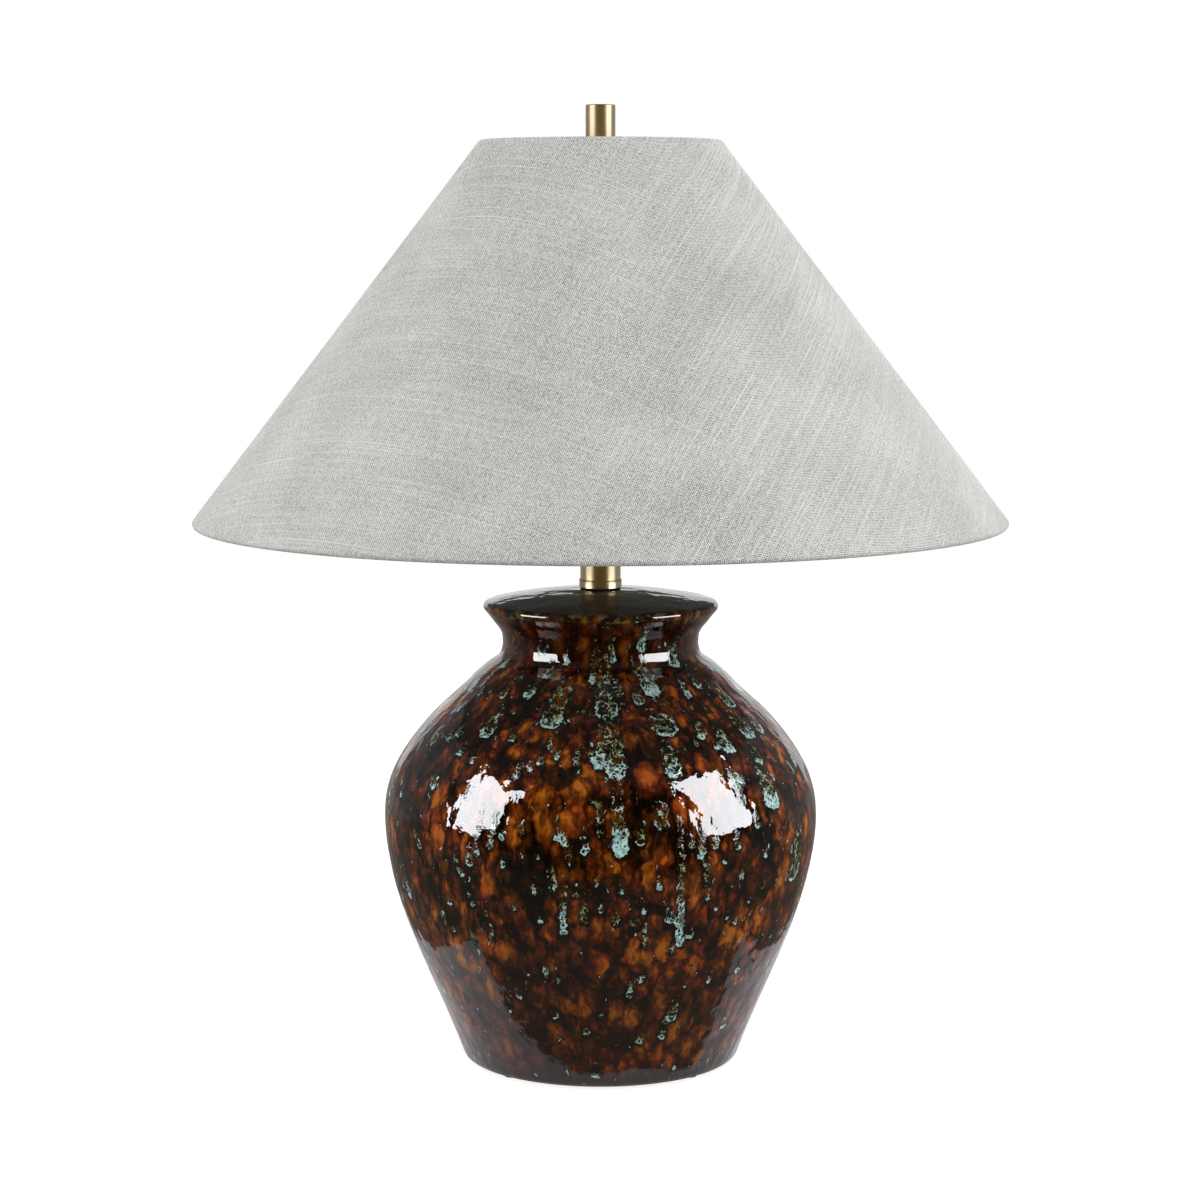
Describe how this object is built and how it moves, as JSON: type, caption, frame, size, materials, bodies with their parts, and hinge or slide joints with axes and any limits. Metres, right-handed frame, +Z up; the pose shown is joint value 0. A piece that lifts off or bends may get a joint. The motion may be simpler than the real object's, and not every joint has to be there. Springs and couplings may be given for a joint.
{
  "type": "table lamp",
  "caption": "Table lamp with a wide empire cone linen shade, a brass neck and finial, and a bellied vase base in a dripped tortoiseshell glaze.",
  "frame": {"origin": "on the lamp's axis, in the plane that the foot pads stand on", "axes": "+Z up along the lamp's axis; -Y is the front, where the switch knob points; +Y is the back, where the lead leaves; the harp lies in the XZ plane"},
  "size_m": [0.508, 0.508, 0.5996],
  "materials": {
    "glaze": "high gloss tortoiseshell glaze with pale blue-green drips",
    "linen": "slubby plain-weave linen",
    "white_liner": "matt",
    "satin_brass": "satin, lathe-brushed",
    "plated_brass": "plated",
    "zinc_steel": "zinc plated",
    "nickel": "bright",
    "black_plastic": "moulded",
    "card": "plain",
    "rubber": "plain",
    "felt": "felt",
    "opal_glass": "frosted white"
  },
  "bodies": {
    "lamp_base": {"foot_pads": "felt", "vase": "glaze", "outlet_bushing": "black_plastic", "lamp_pipe": "zinc_steel", "rubber_washer": "rubber", "steel_washer": "zinc_steel", "lock_washer": "zinc_steel", "lower_nut": "zinc_steel", "neck_gasket": "rubber", "neck_collar": "satin_brass", "neck_tube": "satin_brass", "neck_cap": "satin_brass", "harp_saddle": "plated_brass", "saddle_nut": "zinc_steel", "holder_cap": "plated_brass", "set_screw": "zinc_steel", "holder_shell": "plated_brass", "holder_sleeve": "card", "holder_body": "black_plastic", "terminal_screws": "plated_brass", "screw_shell": "nickel", "centre_contact": "plated_brass"},
    "switch": {"switch_shaft": "zinc_steel", "switch_knob": "black_plastic"},
    "bulb": {"bulb_glass": "opal_glass", "bulb_base": "nickel", "bulb_insulator": "black_plastic", "bulb_contact": "nickel"},
    "harp": {"harp": "plated_brass"},
    "left_ferrule": {"left_ferrule": "plated_brass"},
    "right_ferrule": {"right_ferrule": "plated_brass"},
    "shade": {"harp_stud": "plated_brass", "shade_spider": "plated_brass", "bottom_ring": "zinc_steel", "shade_liner": "white_liner", "linen_cover": "linen"},
    "finial": {"finial": "satin_brass"}
  },
  "joints": [
    {"name": "switch_turn", "type": "hinge", "parent": "lamp_base", "child": "switch", "pos_m": [0, -0.0173, 0.39281], "axis": [0, -1, 0], "continuous": true},
    {"name": "bulb_turn", "type": "hinge", "parent": "lamp_base", "child": "bulb", "pos_m": [0, 0, 0.40821], "axis": [0, 0, 1], "continuous": true},
    {"name": "harp_lift", "type": "slide", "parent": "lamp_base", "child": "harp", "axis": [0, 0, 1], "range_m": [0, 0.02]},
    {"name": "left_ferrule_slide", "type": "slide", "parent": "harp", "child": "left_ferrule", "axis": [0, 0, 1], "range_m": [0, 0.012]},
    {"name": "right_ferrule_slide", "type": "slide", "parent": "harp", "child": "right_ferrule", "axis": [0, 0, 1], "range_m": [0, 0.012]},
    {"name": "shade_turn", "type": "hinge", "parent": "harp", "child": "shade", "pos_m": [0, 0, 0.56341], "axis": [0, 0, 1], "continuous": true},
    {"name": "finial_turn", "type": "hinge", "parent": "shade", "child": "finial", "pos_m": [0, 0, 0.56521], "axis": [0, 0, 1], "continuous": true}
  ]
}
